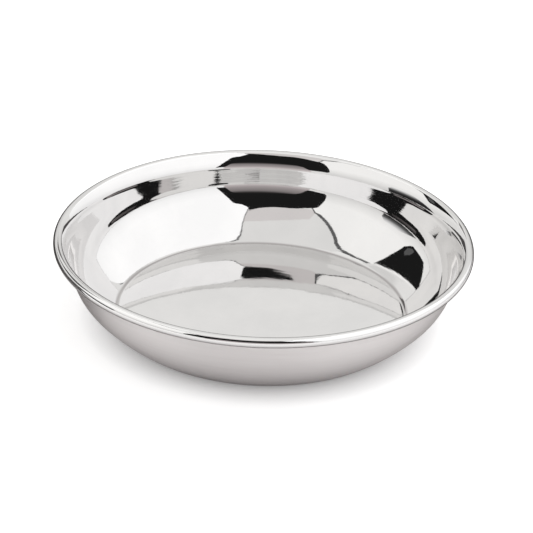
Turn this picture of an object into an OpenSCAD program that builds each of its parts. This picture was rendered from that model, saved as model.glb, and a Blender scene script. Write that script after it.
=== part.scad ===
// Deep round plate of stainless steel sheet.
// One pressed dish has a flat floor, a curved wall and a flared edge, rolled outwards over a stiffening wire.
// The dish is a strip of sheet that follows tangent arcs, turned about the Z axis.
// Z = 0 is the table that the flat base stands on.

/* [Rim] */
// Outside diameter of the plate, across the rolled edge
rim_d = 180; // [150:1:230]
// Outside diameter of the roll
roll_d = 4.3; // [4:0.1:6]
// Turn of the roll from the crest of the rim to its free edge, in degrees
roll_turn = 225; // [200:5:230]
// Radius of the flare that leads from the wall out to the roll, on its inside
flare_r = 14; // [11:0.5:20]
// Lean of the flare where the roll begins, in degrees from upright
flare_lean = 42.3; // [34:0.1:50]
// Clearance between the wire and the sheet that is rolled round it
wire_clearance = 0.05; // [0.02:0.01:0.2]

/* [Dish] */
// Thickness of the steel sheet
sheet_t = 1; // [0.6:0.05:1.2]
// Length of the nearly straight band under the flare, along its inside
wall_run = 5.9; // [4:0.1:10]
// Lean of that band at its top, in degrees from upright
neck_lean = 11.2; // [8:0.1:11.9]
// Lean of that band at its foot, in degrees from upright
wall_lean = 12.6; // [12.1:0.1:17]
// Radius of the belly below the band, on its inside
belly_r = 24.3; // [16:0.1:36]
// Lean of the wall where the belly ends, in degrees from upright
belly_lean = 41.3; // [32:0.1:48]
// Radius of the flank that runs down to the floor, on its inside
flank_r = 72; // [45:1:100]
// Lean of the wall where the flank ends, in degrees from upright
flank_lean = 54.3; // [49:0.1:64]
// Radius of the heel between the flank and the flat floor, on its inside
heel_r = 4; // [1.5:0.25:9]

/* [Hidden] */
// Largest turn between neighbouring points of an arc, in degrees
arc_step = 5;
// Sides of a full turn about the Z axis, and of the wire
round_fn = 180;
wire_fn = 32;

roll_r = roll_d / 2;
wire_r = roll_r - sheet_t - wire_clearance;
wall_r = wall_run * 180 / (PI * (wall_lean - neck_lean));

// Bends from the edge of the floor to the crest of the rim, as [radius of the inside face, turn].
// The wall turns up to the left, and the flare and the roll turn over to the right.
WALL_BENDS = [
    [heel_r, 90 - flank_lean],
    [flank_r, flank_lean - belly_lean],
    [belly_r, belly_lean - wall_lean],
    [wall_r, wall_lean - neck_lean],
    [flare_r, neck_lean - flare_lean],
    [roll_r, flare_lean - 90]
];
ROLL_BEND = [[roll_r, -roll_turn]];

// Unit vector to the left of a heading in the section's plane
function left_of(heading) = [-sin(heading), cos(heading)];

// Points of one arc after its start, for a signed turn
function arc_points(start, heading, radius, turn) =
    let (
        side = sign(turn),
        centre = start + side * radius * left_of(heading),
        steps = ceil(abs(turn) / arc_step)
    )
    [for (i = [1 : steps]) centre - side * radius * left_of(heading + turn * i / steps)];

// Points of a chain of bends, on the face that lies below the inside face by depth
function face_points(start, heading, bends, depth, i = 0) =
    i == len(bends) ? [] :
    let (
        turn = bends[i][1],
        arc = arc_points(start, heading, bends[i][0] + sign(turn) * depth, turn)
    )
    concat(arc, face_points(arc[len(arc) - 1], heading + turn, bends, depth, i + 1));

function last_of(points) = points[len(points) - 1];
function reversed(points) = [for (i = [len(points) - 1 : -1 : 0]) points[i]];

// The crest of the rim, seen from the edge of the floor, fixes how wide the flat floor is
crest_run = last_of(face_points([0, sheet_t], 0, WALL_BENDS, 0));
floor_r = rim_d / 2 - roll_r - crest_run[0];
roll_centre = [rim_d / 2 - roll_r, crest_run[1] - roll_r];

// Half section of the sheet, from the axis to the free edge of the roll and back
module sheet_section() {
    bends = concat(WALL_BENDS, ROLL_BEND);
    inside = concat([[0, sheet_t], [floor_r, sheet_t]], face_points([floor_r, sheet_t], 0, bends, 0));
    outside = concat([[0, 0], [floor_r, 0]], face_points([floor_r, 0], 0, bends, sheet_t));
    polygon(concat(inside, reversed(outside)));
}

// Floor, wall, flare and roll, pressed from one sheet
module pressed_dish() {
    color([0.82, 0.82, 0.82])
        rotate_extrude($fn = round_fn)
            sheet_section();
}

// Ring of round wire that the edge of the sheet is rolled over
module rim_wire() {
    color([0.55, 0.56, 0.58])
        rotate_extrude($fn = round_fn)
            translate(roll_centre)
                circle(r = wire_r, $fn = wire_fn);
}

pressed_dish();
rim_wire();
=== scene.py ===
"""Looks of a deep round plate of polished stainless steel, standing on a pale table in a light tent.

The plate is one pressed dish, a surface of revolution, whose edge is rolled over a ring of wire.
Lengths are in metres, in the frame of the CAD model: Z = 0 is the table and +Z is up.
"""

import logging
import math
from dataclasses import dataclass
from enum import Enum
from typing import Sequence

import bpy
import numpy as np
from mathutils import Matrix


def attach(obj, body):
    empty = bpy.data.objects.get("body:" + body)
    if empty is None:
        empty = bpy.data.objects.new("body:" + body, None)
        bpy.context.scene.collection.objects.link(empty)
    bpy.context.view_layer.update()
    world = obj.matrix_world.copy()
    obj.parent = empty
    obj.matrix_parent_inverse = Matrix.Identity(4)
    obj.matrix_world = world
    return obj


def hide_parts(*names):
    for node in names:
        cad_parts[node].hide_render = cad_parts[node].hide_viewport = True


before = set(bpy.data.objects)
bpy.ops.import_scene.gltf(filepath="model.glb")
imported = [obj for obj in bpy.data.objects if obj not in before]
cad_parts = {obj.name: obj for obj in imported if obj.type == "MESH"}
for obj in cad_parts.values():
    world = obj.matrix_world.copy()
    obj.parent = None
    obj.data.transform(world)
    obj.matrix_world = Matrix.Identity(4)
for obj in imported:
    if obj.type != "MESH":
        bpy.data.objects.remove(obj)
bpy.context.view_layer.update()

LOG = logging.getLogger("plate")
Socket = bpy.types.NodeSocket
Colour = tuple[float, float, float, float]
Steps = tuple[tuple[float, float], ...]
Station = tuple[float, float, float]

PURE_WHITE: Colour = (1.0, 1.0, 1.0, 1.0)
PURE_BLACK: Colour = (0.0, 0.0, 0.0, 1.0)
# Side of the photograph, in pixels
IMAGE_SIDE = 533
# A quarter turn, in degrees
QUARTER = 90.0
# Value of the roll attribute at the crest of the rim; it is 0 off the roll and grows to 1 round its outside,
# where it sets the painted shade on the roll's underside
ROLL_CREST = 0.2
# Colour sockets of the Mix node, by number because its sockets for other types have the same names
MIX_SHARE, MIX_FIRST, MIX_SECOND, MIX_RESULT = 0, 6, 7, 2


class Ray(Enum):
    """Kinds of rays that a surface can answer in a way of its own."""

    CAMERA = "Is Camera Ray"
    GLOSSY = "Is Glossy Ray"
    TRANSMISSION = "Is Transmission Ray"


class Face(Enum):
    """Sides of the sheet, with the value that the satin attribute holds there."""

    INSIDE = 0.0
    OUTSIDE = 1.0


class Layer(Enum):
    """Layers of the tent, from the plate outwards, with their radius."""

    RAIL = 0.13
    SKIRT = 1.43
    APRON = 1.44
    MASK = 1.46
    GLINT = 1.465
    FLAG = 1.47
    BOX = 1.5
    TRIM = 1.53
    STREAK = 1.58
    CLOTH = 1.6
    BACK = 1.62


class NodeSheet:
    """Short calls that add and join the nodes of one material or world."""

    def __init__(self, tree: bpy.types.NodeTree) -> None:
        """Starts from an empty tree.

        Args:
            tree: the node tree to fill.
        """
        self.tree = tree
        tree.nodes.clear()

    def add(self, kind: str, **settings: object) -> bpy.types.Node:
        """Adds a node.

        Args:
            kind: Blender's name of the node type.
            settings: properties of the node to set.
        Returns:
            The new node.
        """
        node = self.tree.nodes.new(kind)
        for key, value in settings.items():
            setattr(node, key, value)
        return node

    def put(self, value: object, socket: Socket) -> None:
        """Joins a socket to an input, or sets the input's own value.

        Args:
            value: an output socket, a number or a tuple.
            socket: the input that takes it.
        """
        if isinstance(value, Socket):
            self.tree.links.new(value, socket)
        else:
            socket.default_value = value

    def attribute(self, name: str) -> Socket:
        """Reads the number that the mesh holds under a name."""
        return self.add("ShaderNodeAttribute", attribute_name=name).outputs["Fac"]

    def place(self) -> Socket:
        """Reads the point's object coordinates."""
        return self.add("ShaderNodeTexCoord").outputs["Object"]

    def split(self, vector: Socket) -> tuple[Socket, ...]:
        """Takes a vector apart.

        Args:
            vector: the vector.
        Returns:
            The sockets of its x, y and z.
        """
        node = self.add("ShaderNodeSeparateXYZ")
        self.put(vector, node.inputs[0])
        return tuple(node.outputs)

    def join(self, *parts: object) -> Socket:
        """Puts a vector together.

        Args:
            parts: its x, y and z, as sockets or numbers.
        Returns:
            The vector's socket.
        """
        node = self.add("ShaderNodeCombineXYZ")
        for part, socket in zip(parts, node.inputs):
            self.put(part, socket)
        return node.outputs[0]

    def math(self, operation: str, *values: object) -> Socket:
        """Works out one number from others.

        Args:
            operation: name of the Math node's operation.
            values: sockets or numbers, in the order of the node's inputs.
        Returns:
            The result's socket.
        """
        node = self.add("ShaderNodeMath", operation=operation)
        for value, socket in zip(values, node.inputs):
            self.put(value, socket)
        return node.outputs[0]

    def vector(self, operation: str, *values: object) -> Socket:
        """Works out one vector from others.

        Args:
            operation: name of the Vector Math node's operation.
            values: sockets or tuples, in the order of the node's inputs.
        Returns:
            The result's socket.
        """
        node = self.add("ShaderNodeVectorMath", operation=operation)
        for value, socket in zip(values, node.inputs):
            self.put(value, socket)
        return node.outputs[0]

    def scaled(self, vector: Socket, factor: float) -> Socket:
        """Makes a vector longer.

        Args:
            vector: the vector.
            factor: how many times longer it gets.
        Returns:
            The longer vector's socket.
        """
        node = self.add("ShaderNodeVectorMath", operation="SCALE")
        self.put(vector, node.inputs[0])
        self.put(factor, node.inputs["Scale"])
        return node.outputs[0]

    def length(self, vector: Socket) -> Socket:
        """Measures a vector.

        Args:
            vector: the vector.
        Returns:
            The socket of its length.
        """
        node = self.add("ShaderNodeVectorMath", operation="LENGTH")
        self.put(vector, node.inputs[0])
        return node.outputs["Value"]

    def noise(self, where: Socket, scale: float, detail: float, roughness: float) -> Socket:
        """Adds a noise pattern.

        Args:
            where: the point to read it at.
            scale: how many cells there are per unit.
            detail: how many finer layers are added.
            roughness: how strong the finer layers are.
        Returns:
            The socket of the pattern's value, about 0 to 1.
        """
        node = self.add("ShaderNodeTexNoise")
        self.put(where, node.inputs["Vector"])
        node.inputs["Scale"].default_value = scale
        node.inputs["Detail"].default_value = detail
        node.inputs["Roughness"].default_value = roughness
        return node.outputs[0]

    def spread(self, value: Socket, low: float, high: float, out_low: float, out_high: float) -> Socket:
        """Maps a range of values to another range, held at both ends.

        Args:
            value: the value to map.
            low: start of its range.
            high: end of its range.
            out_low: result at the start.
            out_high: result at the end.
        Returns:
            The mapped value's socket.
        """
        node = self.add("ShaderNodeMapRange")
        for item, socket in zip((value, low, high, out_low, out_high), node.inputs):
            self.put(item, socket)
        return node.outputs[0]

    def blend(self, share: Socket, first: object, second: object) -> Socket:
        """Mixes two colours.

        Args:
            share: how much of the second there is, 0 to 1.
            first: colour or socket.
            second: colour or socket.
        Returns:
            The mixed colour's socket.
        """
        node = self.add("ShaderNodeMix", data_type="RGBA")
        self.put(share, node.inputs[MIX_SHARE])
        self.put(first, node.inputs[MIX_FIRST])
        self.put(second, node.inputs[MIX_SECOND])
        return node.outputs[MIX_RESULT]

    def any_ray(self, *kinds: Ray) -> Socket:
        """Gives 1 for rays of the named kinds and 0 for the rest.

        Args:
            kinds: the kinds of rays.
        Returns:
            The socket of that number.
        """
        path = self.add("ShaderNodeLightPath")
        result: Socket = path.outputs[kinds[0].value]
        for kind in kinds[1:]:
            result = self.math("MAXIMUM", result, path.outputs[kind.value])
        return result

    def show(self, shader: bpy.types.Node) -> None:
        """Joins a surface's shader to the material's output."""
        self.put(shader.outputs[0], self.add("ShaderNodeOutputMaterial").inputs[0])


def new_material(name: str) -> tuple[bpy.types.Material, NodeSheet]:
    """Makes a node material with nothing in it.

    Args:
        name: the material's name.
    Returns:
        The material, and the sheet to fill its tree with.
    """
    made = bpy.data.materials.new(name)
    made.use_nodes = True
    return made, NodeSheet(made.node_tree)


@dataclass(frozen=True)
class Grain:
    """A noise pattern that follows the section.

    It has so many cells per unit of direction round the axis, and so many per metre along the section.
    """

    around: float
    along: float
    detail: float
    roughness: float


@dataclass(frozen=True)
class SheetPoint:
    """What the finish of the sheet reads at a point.

    It is the place, its height, the unit vector away from the axis, the way along the section, and the
    shares of the satin side, the roll, which also sets the painted highlight and shade on the roll, and the
    heel, which masks the painted shade in its crease.
    """

    place: Socket
    height: Socket
    outward: Socket
    run: Socket
    satin: Socket
    roll: Socket
    heel: Socket

    @classmethod
    def read(cls, sheet: NodeSheet) -> "SheetPoint":
        """Adds the nodes that read a point.

        Args:
            sheet: the material's nodes.
        Returns:
            The point's sockets.
        """
        place = sheet.place()
        x, y, z = sheet.split(place)
        outward = sheet.vector("NORMALIZE", sheet.join(x, y))
        return cls(place, z, outward, *map(sheet.attribute, ("run", "satin", "roll", "heel")))


@dataclass(frozen=True)
class PolishedSteel:
    """Finish of the pressed sheet: a mirror inside and over the rim, satin outside.

    The smears are given as a noise's scale, detail and roughness. The renderer follows only a few mirror
    bounces, so past last_bounce the sheet glows an even grey, a painted reflection in place of the bounces
    it doesn't follow.
    """

    name: str = "polished_steel"
    light_steel: Colour = (0.83, 0.822, 0.818, 1.0)
    dark_steel: Colour = (0.79, 0.784, 0.782, 1.0)
    satin_steel: Colour = (0.7, 0.672, 0.668, 1.0)
    # Painted shade: the outside darkens to this towards the foot
    foot_shade_steel: Colour = (0.36, 0.34, 0.34, 1.0)
    # Painted highlight on the roll's crest, and painted shade on the roll's underside
    crest_highlight_steel: Colour = (0.95, 0.945, 0.942, 1.0)
    roll_shade_steel: Colour = (0.4, 0.384, 0.382, 1.0)
    # Painted shade in the crease of the heel
    heel_crease_shade_steel: Colour = (0.52, 0.5, 0.498, 1.0)
    edge_steel: Colour = (0.15, 0.14, 0.14, 1.0)
    # Painted reflection: the sheet glows this grey past the last followed bounce
    deep_bounce_glow: Colour = (0.46, 0.455, 0.453, 1.0)
    last_bounce: float = 3.5
    smears: tuple[float, float, float] = (38.0, 4.0, 0.6)
    smear_range: tuple[float, float] = (0.35, 0.65)
    lines: Grain = Grain(around=2.2, along=900.0, detail=3.0, roughness=0.6)
    waves: Grain = Grain(around=4.0, along=140.0, detail=1.0, roughness=0.4)
    line_height: float = 5.0e-6
    wave_height: float = 1.8e-5
    mirror_range: tuple[float, float] = (0.35, 0.7)
    mirror_gloss: tuple[float, float] = (0.02, 0.05)
    satin_range: tuple[float, float] = (0.3, 0.7)
    satin_gloss: tuple[float, float] = (0.42, 0.5)
    satin_stretch: float = 0.85
    satin_turn: float = 0.25
    # Heights over which the outside's painted shade fades out
    foot_height: float = 0.0
    upper_height: float = 0.026

    def pattern(self, sheet: NodeSheet, at: SheetPoint, grain: Grain) -> Socket:
        """Adds noise that is drawn out round the plate.

        It is read at outward * around, moved along Z by run * along.

        Args:
            sheet: the material's nodes.
            at: the point of the sheet.
            grain: how fine the noise is, each way.
        Returns:
            The socket of the pattern's value.
        """
        along = sheet.join(0.0, 0.0, sheet.math("MULTIPLY", at.run, grain.along))
        where = sheet.vector("ADD", sheet.scaled(at.outward, grain.around), along)
        return sheet.noise(where, 1.0, grain.detail, grain.roughness)

    def colour(self, sheet: NodeSheet, at: SheetPoint, on_roll: Socket) -> Socket:
        """Mixes the colours of inside, roll, heel and outside, with painted light: a painted highlight on
        the roll's crest, painted shade on the roll's underside and in the heel's crease, and painted shade
        that darkens the outside towards the foot.

        Args:
            sheet: the material's nodes.
            at: the point of the sheet.
            on_roll: 1 on the roll and 0 off it.
        Returns:
            The colour's socket.
        """
        smears = sheet.spread(sheet.noise(at.place, *self.smears), *self.smear_range, 0.0, 1.0)
        inside = sheet.blend(smears, self.light_steel, self.dark_steel)
        # Painted highlight on the roll's crest, turning into painted shade round the roll's underside
        past_crest = sheet.spread(at.roll, ROLL_CREST, 1.0, 0.0, 1.0)
        bead = sheet.blend(past_crest, self.crest_highlight_steel, self.roll_shade_steel)
        # Painted shade darkens the heel's crease
        mirror = sheet.blend(at.heel, sheet.blend(on_roll, inside, bead), self.heel_crease_shade_steel)
        # Painted shade, darker towards the foot
        foot_shade_share = sheet.spread(at.height, self.foot_height, self.upper_height, 1.0, 0.0)
        outside = sheet.blend(foot_shade_share, self.satin_steel, self.foot_shade_steel)
        return sheet.blend(at.satin, mirror, outside)

    def gloss(self, sheet: NodeSheet, at: SheetPoint, lines: Socket) -> Socket:
        """Works out the roughness, which follows the polishing lines.

        Args:
            sheet: the material's nodes.
            at: the point of the sheet.
            lines: value of the polishing lines.
        Returns:
            The roughness's socket.
        """
        mirror = sheet.spread(lines, *self.mirror_range, *self.mirror_gloss)
        brushed = sheet.spread(lines, *self.satin_range, *self.satin_gloss)
        more = sheet.math("MULTIPLY", at.satin, sheet.math("SUBTRACT", brushed, mirror))
        return sheet.math("ADD", mirror, more)

    def relief(self, sheet: NodeSheet, lines: Socket, waves: Socket) -> Socket:
        """Works out the normal over the polishing lines and the slow waves of the pressing.

        Args:
            sheet: the material's nodes.
            lines: value of the polishing lines.
            waves: value of the waves.
        Returns:
            The normal's socket.
        """
        bump = sheet.add("ShaderNodeBump")
        bump.inputs["Strength"].default_value = 1.0
        bump.inputs["Distance"].default_value = 1.0
        height = sheet.math("ADD", sheet.math("MULTIPLY", waves, self.wave_height),
                            sheet.math("MULTIPLY", lines, self.line_height))
        sheet.put(height, bump.inputs["Height"])
        return bump.outputs[0]

    def material(self) -> bpy.types.Material:
        """Builds the material from the sheet's attributes and its object coordinates.

        The satin is brushed round the axis, and the roll and the satin darken towards their outlines.

        Returns:
            The material.
        """
        made, sheet = new_material(self.name)
        at = SheetPoint.read(sheet)
        lines = self.pattern(sheet, at, self.lines)
        waves = self.pattern(sheet, at, self.waves)
        on_roll = sheet.spread(at.roll, 0.0, ROLL_CREST, 0.0, 1.0)
        outlined = sheet.math("MAXIMUM", at.satin, on_roll)
        # Past the last followed bounce the sheet glows an even grey, a painted reflection
        bounces = sheet.add("ShaderNodeLightPath").outputs["Glossy Depth"]
        deep = sheet.math("GREATER_THAN", bounces, self.last_bounce)
        shader = sheet.add("ShaderNodeBsdfPrincipled")
        shader.inputs["Metallic"].default_value = 1.0
        shader.inputs["Anisotropic Rotation"].default_value = self.satin_turn
        shader.inputs["Emission Strength"].default_value = 1.0
        for name, value in {
            "Base Color": self.colour(sheet, at, on_roll),
            "Roughness": self.gloss(sheet, at, lines),
            "Specular Tint": sheet.blend(outlined, PURE_WHITE, self.edge_steel),
            "Anisotropic": sheet.math("MULTIPLY", at.satin, self.satin_stretch),
            "Tangent": sheet.vector("CROSS_PRODUCT", (0.0, 0.0, 1.0), at.outward),
            "Normal": self.relief(sheet, lines, waves),
            "Emission Color": sheet.blend(deep, PURE_BLACK, self.deep_bounce_glow),
        }.items():
            sheet.put(value, shader.inputs[name])
        sheet.show(shader)
        return made


@dataclass(frozen=True)
class DrawnWire:
    """Finish of the wire in the roll: grey drawn steel with blotches, and fine lines round the plate.

    Blotches and lines are given as a noise's scale, detail and roughness.
    """

    name: str = "wire_steel"
    light_grey: Colour = (0.56, 0.57, 0.59, 1.0)
    dark_grey: Colour = (0.42, 0.43, 0.45, 1.0)
    blotches: tuple[float, float, float] = (220.0, 3.0, 0.6)
    lines: tuple[float, float, float] = (1.0, 2.0, 0.5)
    line_stretch: tuple[float, float, float] = (60.0, 60.0, 4000.0)
    line_range: tuple[float, float] = (0.3, 0.7)
    gloss: tuple[float, float] = (0.3, 0.5)

    def material(self) -> bpy.types.Material:
        """Builds the material on object coordinates.

        Returns:
            The material.
        """
        made, sheet = new_material(self.name)
        place = sheet.place()
        blotches = sheet.noise(place, *self.blotches)
        lines = sheet.noise(sheet.vector("MULTIPLY", place, self.line_stretch), *self.lines)
        shader = sheet.add("ShaderNodeBsdfPrincipled")
        shader.inputs["Metallic"].default_value = 1.0
        sheet.put(sheet.blend(blotches, self.light_grey, self.dark_grey), shader.inputs["Base Color"])
        sheet.put(sheet.spread(lines, *self.line_range, *self.gloss), shader.inputs["Roughness"])
        sheet.show(shader)
        return made


@dataclass(frozen=True)
class TableTop:
    """Finish of the pale table: a matt white that reads as white and keeps the plate's shadow, deepened by a
    painted shadow round its foot.
    """

    name: str = "pale_table"
    paint: Colour = (0.8, 0.8, 0.8, 1.0)
    fill: float = 0.6
    # The glow fades out inside these radii, a painted shadow round the plate's foot
    painted_shadow_inner_r: float = 0.055
    painted_shadow_outer_r: float = 0.08

    def material(self) -> bpy.types.Material:
        """Adds a glow to the paint for rays that show the table as a background; the glow fades out towards
        the plate, which paints a shadow round its foot.

        Returns:
            The material.
        """
        made, sheet = new_material(self.name)
        paint = sheet.add("ShaderNodeBsdfDiffuse")
        paint.inputs["Color"].default_value = self.paint
        glow = sheet.add("ShaderNodeEmission")
        shown = sheet.any_ray(Ray.CAMERA, Ray.GLOSSY, Ray.TRANSMISSION)
        # Glow that fades out towards the plate, a painted shadow round its foot
        glow_past_painted_shadow = sheet.spread(sheet.length(sheet.place()), self.painted_shadow_inner_r, self.painted_shadow_outer_r, 0.0, self.fill)
        sheet.put(sheet.math("MULTIPLY", shown, glow_past_painted_shadow), glow.inputs["Strength"])
        both = sheet.add("ShaderNodeAddShader")
        sheet.put(paint.outputs[0], both.inputs[0])
        sheet.put(glow.outputs[0], both.inputs[1])
        sheet.show(both)
        return made


@dataclass(frozen=True)
class TentCloth:
    """Finish of a panel of the tent: cloth that glows, more or less strongly with its height.

    A step is (elevation in degrees, glow), and the glow changes evenly from step to step.
    """

    name: str
    steps: Steps
    tint: Colour

    def ramp(self, sheet: NodeSheet) -> Socket:
        """Works out the glow from the elevation, which is arcsin(z / distance).

        Args:
            sheet: the material's nodes.
        Returns:
            The glow's socket.
        """
        rise = sheet.split(sheet.vector("NORMALIZE", sheet.place()))[2]
        ramp = sheet.add("ShaderNodeValToRGB")
        sheet.put(sheet.math("DIVIDE", sheet.math("ARCSINE", rise), math.pi / 2), ramp.inputs[0])
        peak = max(glow for _, glow in self.steps)
        marks = ramp.color_ramp.elements
        while len(marks) < len(self.steps):
            marks.new(1.0)
        for mark, (elevation, glow) in zip(marks, self.steps):
            mark.position = elevation / QUARTER
            mark.color = (glow / peak, glow / peak, glow / peak, 1.0)
        return sheet.math("MULTIPLY", ramp.outputs[0], peak)

    def material(self) -> bpy.types.Material:
        """Builds the glowing material on object coordinates.

        Returns:
            The material.
        """
        made, sheet = new_material(self.name)
        light = sheet.add("ShaderNodeEmission")
        light.inputs["Color"].default_value = self.tint
        glow = self.steps[0][1] if len(self.steps) == 1 else self.ramp(sheet)
        sheet.put(glow, light.inputs["Strength"])
        sheet.show(light)
        return made


def mesh_object(name: str, points: np.ndarray, faces: list[list[int]]) -> bpy.types.Object:
    """Makes a smooth mesh object at the origin.

    Args:
        name: the object's name.
        points: vertices, n by 3.
        faces: vertex numbers of each face.
    Returns:
        The object, linked into the scene.
    """
    mesh = bpy.data.meshes.new(name)
    mesh.from_pydata(points, [], faces)
    mesh.polygons.foreach_set("use_smooth", np.ones(len(mesh.polygons), dtype=bool))
    mesh.update()
    made = bpy.data.objects.new(name, mesh)
    bpy.context.scene.collection.objects.link(made)
    return made


def grid_faces(rows: int, columns: int) -> list[list[int]]:
    """Lists the four-sided faces of a grid whose points are numbered row by row.

    Args:
        rows: how many rows of points there are.
        columns: how many points a row has.
    Returns:
        The vertex numbers of each face.
    """
    row, column = np.meshgrid(np.arange(rows - 1), np.arange(columns - 1), indexing="ij")
    corner = row * columns + column
    faces = np.stack([corner, corner + 1, corner + columns + 1, corner + columns], -1)
    return faces.reshape(-1, 4).tolist()


def left_of(heading: np.ndarray | float) -> np.ndarray:
    """Gives unit vectors to the left of headings in the section's plane: (-sin h, cos h)."""
    return np.stack([-np.sin(heading), np.cos(heading)], -1)


def turned(flat: np.ndarray, sides: int) -> np.ndarray:
    """Turns vectors (r, z) about the Z axis, ring by ring: (r cos a, r sin a, z).

    Args:
        flat: the vectors, n by 2.
        sides: how many steps the full turn has.
    Returns:
        The turned vectors, n * sides by 3.
    """
    angle = 2 * np.pi * np.arange(sides) / sides
    radius, height = flat[:, :1], np.repeat(flat[:, 1:], sides, axis=1)
    return np.stack([radius * np.cos(angle), radius * np.sin(angle), height], -1).reshape(-1, 3)


@dataclass(frozen=True)
class Bend:
    """An arc of the section: radius of the inside face, turn in degrees, positive to the left, and steps."""

    radius: float
    turn: float
    steps: int


@dataclass
class PressedDish:
    """The dish, pressed from one round sheet: floor, heel, flank, belly, wall, flare and roll.

    Radii and the wall's run are those of the inside face, and leans are in degrees from upright. The
    painted shade on the roll's underside comes in over a span of degrees past the crest. The floor's rings
    are shares of its radius.
    """

    rim_d: float = 0.180
    roll_d: float = 0.0043
    roll_turn: float = 225.0
    sheet_t: float = 0.001
    flare_r: float = 0.014
    flare_lean: float = 42.3
    neck_lean: float = 11.2
    wall_run: float = 0.0059
    wall_lean: float = 12.6
    belly_r: float = 0.0243
    belly_lean: float = 41.3
    flank_r: float = 0.072
    flank_lean: float = 54.3
    heel_r: float = 0.004
    # Span, in degrees past the crest, over which the painted shade on the roll's underside comes in
    roll_shade_span: tuple[float, float] = (40.0, 130.0)
    floor_rings: tuple[float, ...] = (0.12, 0.3, 0.5, 0.7, 0.85, 0.94, 0.985)
    heel_steps: int = 24
    flank_steps: int = 26
    belly_steps: int = 24
    wall_steps: int = 14
    flare_steps: int = 24
    roll_steps: int = 56
    edge_steps: int = 8
    sides: int = 256
    finish: PolishedSteel = PolishedSteel()

    def bends(self) -> list[Bend]:
        """Lists the bends from the floor's edge to the sheet's free edge.

        Returns:
            The bends, in order.
        """
        wall_r = self.wall_run / math.radians(self.wall_lean - self.neck_lean)
        return [
            Bend(self.heel_r, QUARTER - self.flank_lean, self.heel_steps),
            Bend(self.flank_r, self.flank_lean - self.belly_lean, self.flank_steps),
            Bend(self.belly_r, self.belly_lean - self.wall_lean, self.belly_steps),
            Bend(wall_r, self.wall_lean - self.neck_lean, self.wall_steps),
            Bend(self.flare_r, self.neck_lean - self.flare_lean, self.flare_steps),
            Bend(self.roll_d / 2, self.flare_lean - QUARTER - self.roll_turn, self.roll_steps),
        ]

    def inside_line(self) -> tuple[np.ndarray, np.ndarray]:
        """Works out the inside face's line in the section, as a chain of tangent arcs.

        An arc of radius r and turn a, from point p with heading h, is centre - side * r * left(h + a * t),
        where side is the sign of a, centre = p + side * r * left(h), and t goes from 0 to 1.
        The rim's diameter fixes where the roll's centre lies, and so how wide the flat floor is.

        Returns:
            The points (r, z) from the floor's edge to the free edge, and the heading at each, in radians.
        """
        centre = point = np.array([0.0, self.sheet_t])
        heading = 0.0
        points, headings = [point[None]], [np.array([heading])]
        for bend in self.bends():
            side = math.copysign(1.0, bend.turn)
            turn = math.radians(bend.turn)
            centre = point + side * bend.radius * left_of(heading)
            angle = heading + turn * np.arange(1, bend.steps + 1) / bend.steps
            points.append(centre - side * bend.radius * left_of(angle))
            headings.append(angle)
            point = points[-1][-1]
            heading += turn
        line = np.concatenate(points)
        line[:, 0] += (self.rim_d - self.roll_d) / 2 - centre[0]
        return line, np.concatenate(headings)

    def section(self, line: np.ndarray, heading: np.ndarray) -> tuple[np.ndarray, np.ndarray]:
        """Closes the sheet's section: floor and inside line out to the free edge, round it, and back below.

        The outside line is the inside line moved to its right by the sheet's thickness, and the free edge
        is a half circle.

        Args:
            line: points of the inside line.
            heading: the heading at each.
        Returns:
            The points (r, z) without the two on the axis, and the unit normal at each.
        """
        left = left_of(heading)
        below = line - self.sheet_t * left
        turn = np.linspace(0.0, np.pi, self.edge_steps + 1)[1:-1, None]
        ahead = np.array([math.cos(heading[-1]), math.sin(heading[-1])])
        edge_normal = np.cos(turn) * left[-1] + np.sin(turn) * ahead
        edge = (line[-1] + below[-1]) / 2 + self.sheet_t / 2 * edge_normal
        floor = np.array(self.floor_rings) * line[0, 0]
        top = np.stack([floor, np.full_like(floor, self.sheet_t)], -1)
        base = np.stack([floor[::-1], np.zeros_like(floor)], -1)
        up = np.tile([0.0, 1.0], (len(floor), 1))
        points = np.concatenate([top, line, edge, below[::-1], base])
        normals = np.concatenate([up, left, edge_normal, -left[::-1], -up])
        return points, normals

    def shares(self, heading: np.ndarray) -> dict[str, np.ndarray]:
        """Works out where the satin, the roll and the heel lie, for the points of the section in order.

        The roll's share, which sets the painted shade on its underside, grows from the crest's value to 1
        over the roll's shade span, and the heel's, which masks the painted shade in its crease, is sin(pi t)
        ** 2 over its arc.

        Args:
            heading: the heading at each point of the inside line.
        Returns:
            The share at each point, by attribute name.
        """
        rings, edge, roll = len(self.floor_rings), self.edge_steps - 1, self.roll_steps
        off_roll = rings + len(heading) - roll
        polished = off_roll + roll + edge + roll
        past_crest = -np.degrees(heading[-roll:])
        # Painted shade on the roll's underside, growing past the crest
        roll_shade_ramp = np.interp(past_crest, self.roll_shade_span, (ROLL_CREST, 1.0))
        # Mask of the painted shade in the heel's crease
        swell = np.sin(np.pi * np.linspace(0.0, 1.0, self.heel_steps + 1)) ** 2
        after_heel = polished + off_roll - rings - len(swell)
        return {
            "satin": np.repeat([Face.INSIDE.value, Face.OUTSIDE.value], [polished, off_roll]),
            "roll": np.concatenate([np.zeros(off_roll), roll_shade_ramp, np.ones(edge + roll), np.zeros(off_roll)]),
            "heel": np.concatenate([np.zeros(rings), swell, np.zeros(after_heel)]),
        }

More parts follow.
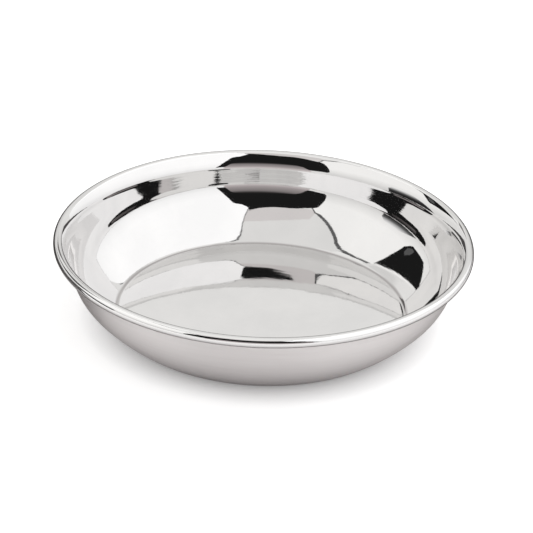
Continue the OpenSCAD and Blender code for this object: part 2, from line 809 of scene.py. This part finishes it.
    def faces(self, count: int) -> list[list[int]]:
        """Lists the faces between the rings of the turned section, and the fans round its two poles.

        Args:
            count: how many points the section has; the poles' numbers follow those of the rings.
        Returns:
            The vertex numbers of each face.
        """
        sides = self.sides
        side = np.arange(sides)
        after = (side + 1) % sides
        start = np.arange(count - 1)[:, None] * sides
        quads = np.stack([start + side, start + sides + side, start + sides + after, start + after], -1)
        last = (count - 1) * sides
        top = np.stack([np.full(sides, count * sides), side, after], -1)
        base = np.stack([np.full(sides, count * sides + 1), last + after, last + side], -1)
        return quads.reshape(-1, 4).tolist() + top.tolist() + base.tolist()

    def mark(self, dish: bpy.types.Object, name: str, values: np.ndarray, poles: Sequence[float]) -> None:
        """Writes an attribute that is alike all round each ring.

        Args:
            dish: the dish.
            name: the attribute's name.
            values: its value on each ring.
            poles: its values at the two poles.
        """
        layer = dish.data.attributes.new(name, "FLOAT", "POINT")
        each = np.concatenate([np.repeat(values, self.sides), poles])
        layer.data.foreach_set("value", each.astype(np.float32))

    def build(self) -> bpy.types.Object:
        """Turns the section about the Z axis, with a point at each pole.

        P(s, a) = (r(s) cos a, r(s) sin a, z(s)), where s is the way along the section and a the turn.

        Returns:
            The dish, with its shares and the attribute run, the way along the section from the upper pole.
        """
        line, heading = self.inside_line()
        points, normals = self.section(line, heading)
        poles = [[0.0, 0.0, self.sheet_t], [0.0, 0.0, 0.0]]
        facing = [[0.0, 0.0, 1.0], [0.0, 0.0, -1.0]]
        vertices = np.concatenate([turned(points, self.sides), poles])
        directions = np.concatenate([turned(normals, self.sides), facing])
        dish = mesh_object("Pressed_Dish", vertices, self.faces(len(points)))
        dish.data.normals_split_custom_set_from_vertices(directions)
        steps = np.hypot(*np.diff(points, axis=0).T)
        run = points[0, 0] + np.concatenate([[0.0], np.cumsum(steps)])
        self.mark(dish, "run", run, (0.0, run[-1] + points[-1, 0]))
        for name, share in self.shares(heading).items():
            self.mark(dish, name, share, (share[0], share[-1]))
        return dish

    def dress(self, dish: bpy.types.Object) -> None:
        """Gives the dish its finish and its place in the frame.

        Args:
            dish: the built dish.
        """
        dish.data.materials.append(self.finish.material())
        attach(dish, "root")
        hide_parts("pressed_dish")


@dataclass
class RimWire:
    """The ring of wire in the roll. Its CAD solid has the right shape and keeps it."""

    finish: DrawnWire = DrawnWire()

    def dress(self) -> bpy.types.Object:
        """Gives the CAD solid its finish.

        Returns:
            The wire's object.
        """
        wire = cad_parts["rim_wire"]
        wire.data.materials.clear()
        wire.data.materials.append(self.finish.material())
        return wire


def even(glow: float) -> Steps:
    """Gives the steps of a cloth that glows alike at every height."""
    return ((0.0, glow),)


@dataclass
class TentPanel:
    """A panel of the light tent, part of a dome round the plate.

    A station is (azimuth, lower elevation, upper elevation) in degrees; azimuth 0 is towards the camera
    and 90 is +X. A panel that is only mirrored casts no shadow and doesn't light matt things.
    """

    name: str
    stations: Sequence[Station]
    steps: Steps
    layer: Layer = Layer.BOX
    tint: Colour = PURE_WHITE
    only_mirrored: bool = False
    columns: int = 90
    rows: int = 24

    def build(self) -> bpy.types.Object:
        """Lays a grid over the panel, from its lower to its upper edge.

        P(a, e) = R (sin a cos e, -cos a cos e, sin e), where a is the azimuth and e the elevation.

        Returns:
            The panel, unseen by the camera itself.
        """
        turn, lower, upper = np.radians(np.array(self.stations, dtype=float)).T
        azimuth = np.union1d(np.linspace(turn[0], turn[-1], self.columns), turn)[:, None]
        low, high = np.interp(azimuth, turn, lower), np.interp(azimuth, turn, upper)
        rise = low + (high - low) * np.linspace(0.0, 1.0, self.rows)
        x, y = np.sin(azimuth) * np.cos(rise), -np.cos(azimuth) * np.cos(rise)
        points = self.layer.value * np.stack([x, y, np.sin(rise)], -1)
        panel = mesh_object(self.name, points.reshape(-1, 3), grid_faces(*rise.shape))
        panel.data.materials.append(TentCloth(self.name, self.steps, self.tint).material())
        panel.visible_camera = False
        panel.visible_diffuse = not self.only_mirrored
        panel.visible_shadow = not self.only_mirrored
        return panel

    def trim(self, start: float, end: float, width: float, glow: float) -> "TentPanel":
        """Makes the dim trim along part of the panel's upper edge.

        Args:
            start: azimuth where the trim begins.
            end: azimuth where it ends.
            width: how far it shows above the edge, in degrees.
            glow: its brightness.
        Returns:
            The trim, as a panel just behind this one.
        """
        azimuth, _, high = np.array(self.stations, dtype=float).T
        at = np.union1d(azimuth[(azimuth > start) & (azimuth < end)], [start, end])
        top = np.interp(at, azimuth, high)
        stations = list(zip(at, top - width, top + width))
        return TentPanel(self.name + "_Trim", stations, even(glow), Layer.TRIM)


@dataclass
class Studio:
    """The pale table, the light tent over it and the white world behind."""

    table_side: float = 8.0
    table_points: int = 3
    ceiling: float = 0.85
    black: Steps = even(0.012)
    white: Colour = (1.0, 0.995, 0.98, 1.0)
    warm: Colour = (1.0, 0.96, 0.95, 1.0)
    rosy: Colour = (1.0, 0.91, 0.91, 1.0)
    table: TableTop = TableTop()

    def low_bands(self) -> list[TentPanel]:
        """Lists the two dark bands low behind the plate, which draw the rim's outline; the rail, seen only
        in mirrors, is a painted shade that stands in for the table lying in shade near the plate.

        Returns:
            The panels.
        """
        # Painted shade: a dark band seen only in mirrors, in place of the table in shade near the plate
        rail = TentPanel(
            "Painted_Shade_Rail", [(102, 0, 5), (116, 0, 15), (250, 0, 15.5), (288, 0, 15)],
            even(0.15), Layer.RAIL, self.warm, only_mirrored=True)
        skirt = TentPanel(
            "Back_Skirt",
            [(95, 0, 2), (120, 0, 3), (140, 0, 6), (180, 0, 9), (220, 0, 6), (240, 0, 3), (265, 0, 2)],
            even(0.08), Layer.SKIRT, self.warm)
        return [rail, skirt]

    def soft_boxes(self) -> list[TentPanel]:
        """Lists the two soft boxes and the dull trims along their upper edges.

        Returns:
            The panels.
        """
        right = TentPanel(
            "Soft_Box_Right",
            [(15, 2, 58), (17, 2, 60), (25, 2, 67), (35, 2, 73), (45, 2, 76), (60, 2, 77.5),
             (75, 2, 76.5), (95, 2, 70.5), (115, 2, 58), (137, 2, 37.5), (144, 2, 24)],
            ((6.0, 0.98), (14.0, 1.12), (28.0, 1.2)))
        left = TentPanel(
            "Soft_Box_Left",
            [(-145, 16, 18), (-130, 9, 34), (-117, 4, 48), (-110, 2, 54), (-104, 2, 57.5), (-97, 2, 60),
             (-88, 2, 60.5), (-70, 2, 58), (-50, 2, 54.5), (-43, 2, 53), (-36, 2, 45)],
            ((8.0, 0.8), (14.0, 0.9), (28.0, 1.06)), tint=self.white)
        return [right, left, right.trim(15, 80, 1.0, 0.2), right.trim(108, 144, 1.0, 0.2),
                left.trim(-117, -36, 1.7, 0.12)]

    def camera_side(self) -> list[TentPanel]:
        """Lists the black gap that the camera looks through, the apron below it and the cloth above it.

        Returns:
            The panels.
        """
        gap = TentPanel(
            "Camera_Gap",
            [(-39, 24, 42), (-38.5, 14, 43.5), (-37, 11, 45.5), (-28, 10, 52), (-22, 10, 54.4),
             (-9, 10, 55.8), (0, 10, 57.6), (9, 10, 59.6), (15, 10, 60.4), (16, 10, 56), (19, 10, 50),
             (22.5, 10, 48.3), (24.5, 10, 45), (25.5, 10, 35), (28.5, 10, 18), (30.5, 9, 10.5)],
            self.black, Layer.MASK)
        apron = TentPanel(
            "Camera_Apron",
            [(-27, 0, 8), (-24, 0, 14), (-22, 0, 19), (-18, 0, 22.5), (-10, 0, 24.5), (5, 0, 26.3),
             (15, 0, 26), (20, 0, 24), (22, 0, 21), (24, 0, 14), (26, 0, 8)],
            ((3.0, 0.75), (7.0, 0.58), (11.0, 0.41), (15.0, 0.325), (19.0, 0.26), (21.0, 0.18),
             (23.0, 0.055), (26.5, 0.015)),
            Layer.APRON, self.rosy)
        brow = TentPanel(
            "Cloth_Above_Gap",
            [(-44, 50, 60), (-30, 50, 64.5), (-10, 55, 67.5), (10, 58, 68.5), (25, 60, 68)],
            even(0.74), Layer.CLOTH, self.warm)
        return [gap, apron, brow]

    def back_cloths(self) -> list[TentPanel]:
        """Lists the plain cloth behind the plate and its two corners.

        Returns:
            The panels.
        """
        behind = TentPanel(
            "Cloth_Behind",
            [(120, 50, 74), (135, 35, 74), (143, 0, 74), (217, 0, 74), (225, 30, 74), (240, 45, 74)],
            ((31.0, 0.89), (35.0, 0.76), (66.0, 0.78), (74.0, 0.85)), Layer.BACK, self.white)
        right = TentPanel(
            "Cloth_Back_Right", [(100, 60, 74), (120, 50, 72), (140, 42, 70), (150, 50, 66)],
            even(1.02), Layer.CLOTH, self.white)
        left = TentPanel(
            "Cloth_Back_Left", [(-150, 50, 66), (-140, 42, 70), (-120, 50, 72), (-100, 58, 72)],
            even(0.96), Layer.CLOTH, self.white)
        return [behind, right, left]

    def flags(self) -> list[TentPanel]:
        """Lists the dark flags by the left soft box, the glint in one of them, and the flag at the back.

        Returns:
            The panels.
        """
        high = TentPanel(
            "Black_Flag",
            [(-144, 17.8, 18.6), (-130, 19.5, 32.5), (-117.5, 20.8, 46.2), (-116, 21, 43),
             (-113.5, 21, 38), (-112, 23, 30)],
            self.black, Layer.FLAG)
        glint = TentPanel(
            "Flag_Glint", [(-119.5, 26, 28), (-118, 24, 31), (-115.5, 24, 31), (-114.5, 26, 29)],
            even(0.1), Layer.GLINT)
        low = TentPanel(
            "Low_Flag",
            [(-118, 0, 2), (-112, 0, 8), (-104, 0, 14), (-95, 0, 20), (-82, 0, 20), (-78, 0, 14)],
            ((9.0, 0.02), (13.0, 0.12), (17.0, 0.6), (20.0, 0.95)), Layer.MASK)
        streak = TentPanel(
            "Back_Flag", [(-172, 28, 33.5), (-165, 28, 33), (-155, 27, 30)],
            even(0.2), Layer.STREAK, self.warm)
        return [high, glint, low, streak]

    def lay_table(self) -> None:
        """Lays the table, a level square grid at Z = 0 whose faces point up."""
        half = self.table_side / 2
        side = np.linspace(-half, half, self.table_points)
        x, y = np.meshgrid(side, side)
        points = np.stack([x, y, np.zeros_like(x)], -1).reshape(-1, 3)
        table = mesh_object("Pale_Table", points, grid_faces(self.table_points, self.table_points))
        table.data.materials.append(self.table.material())

    def hang_world(self) -> None:
        """Sets the world: pure white for the camera, and a dimmer ceiling for the rest."""
        world = bpy.data.worlds.new("Studio")
        world.use_nodes = True
        bpy.context.scene.world = world
        sheet = NodeSheet(world.node_tree)
        seen = sheet.any_ray(Ray.CAMERA)
        back = sheet.add("ShaderNodeBackground")
        sheet.put(sheet.blend(seen, self.white, PURE_WHITE), back.inputs["Color"])
        sheet.put(sheet.spread(seen, 0.0, 1.0, self.ceiling, 1.0), back.inputs["Strength"])
        sheet.put(back.outputs[0], sheet.add("ShaderNodeOutputWorld").inputs[0])

    def build(self) -> None:
        """Builds the table, the panels and the world, and shows colours as they are written."""
        self.lay_table()
        for group in (self.low_bands, self.soft_boxes, self.camera_side, self.back_cloths, self.flags):
            for panel in group():
                panel.build()
        self.hang_world()
        bpy.context.scene.view_settings.view_transform = "Standard"


@dataclass
class PhotoCamera:
    """Camera at the photograph's place: it looks at the rim's centre, then turns a little off it.

    Angles are in degrees, and the focal length is in pixels of the photograph.
    """

    target_z: float = 0.034468
    distance: float = 1.00215
    elevation: float = 27.112
    pan: float = 0.0867
    tilt: float = -0.6128
    roll: float = 2.147
    focal_px: float = 2338.4
    sensor: float = 36.0

    def build(self) -> bpy.types.Object:
        """Makes the camera and sets it as the scene's.

        Returns:
            The camera's object.
        """
        rise, roll = math.radians(self.elevation), math.radians(self.roll)
        pan, tilt = math.radians(self.pan), math.radians(self.tilt)
        back = np.array([0.0, -math.cos(rise), math.sin(rise)])
        across = np.array([1.0, 0.0, 0.0])
        ahead = -back + math.tan(pan) * across - math.tan(tilt) * np.cross(across, back)
        ahead /= np.linalg.norm(ahead)
        level = np.cross(ahead, [0.0, 0.0, 1.0])
        level /= np.linalg.norm(level)
        upright = np.cross(level, ahead)
        right = math.cos(roll) * level + math.sin(roll) * upright
        up = -math.sin(roll) * level + math.cos(roll) * upright
        turn = np.eye(4)
        turn[:3, :3] = np.stack([right, up, -ahead], -1)
        turn[:3, 3] = self.distance * back + [0.0, 0.0, self.target_z]
        data = bpy.data.cameras.new("Photo_Camera")
        data.sensor_width = self.sensor
        data.lens = self.focal_px / IMAGE_SIDE * self.sensor
        made = bpy.data.objects.new("Photo_Camera", data)
        made.matrix_world = Matrix(turn.tolist())
        bpy.context.scene.collection.objects.link(made)
        bpy.context.scene.camera = made
        return made


def main() -> None:
    """Builds the camera, the studio and the plate's pieces."""
    logging.basicConfig(level=logging.INFO, format="%(name)s: %(message)s")
    PhotoCamera().build()
    Studio().build()
    plate = PressedDish()
    dish = plate.build()
    plate.dress(dish)
    LOG.info("%s: %d faces", dish.name, len(dish.data.polygons))
    wire = RimWire().dress()
    LOG.info("%s: %d faces", wire.name, len(wire.data.polygons))


if __name__ == "__main__":
    main()
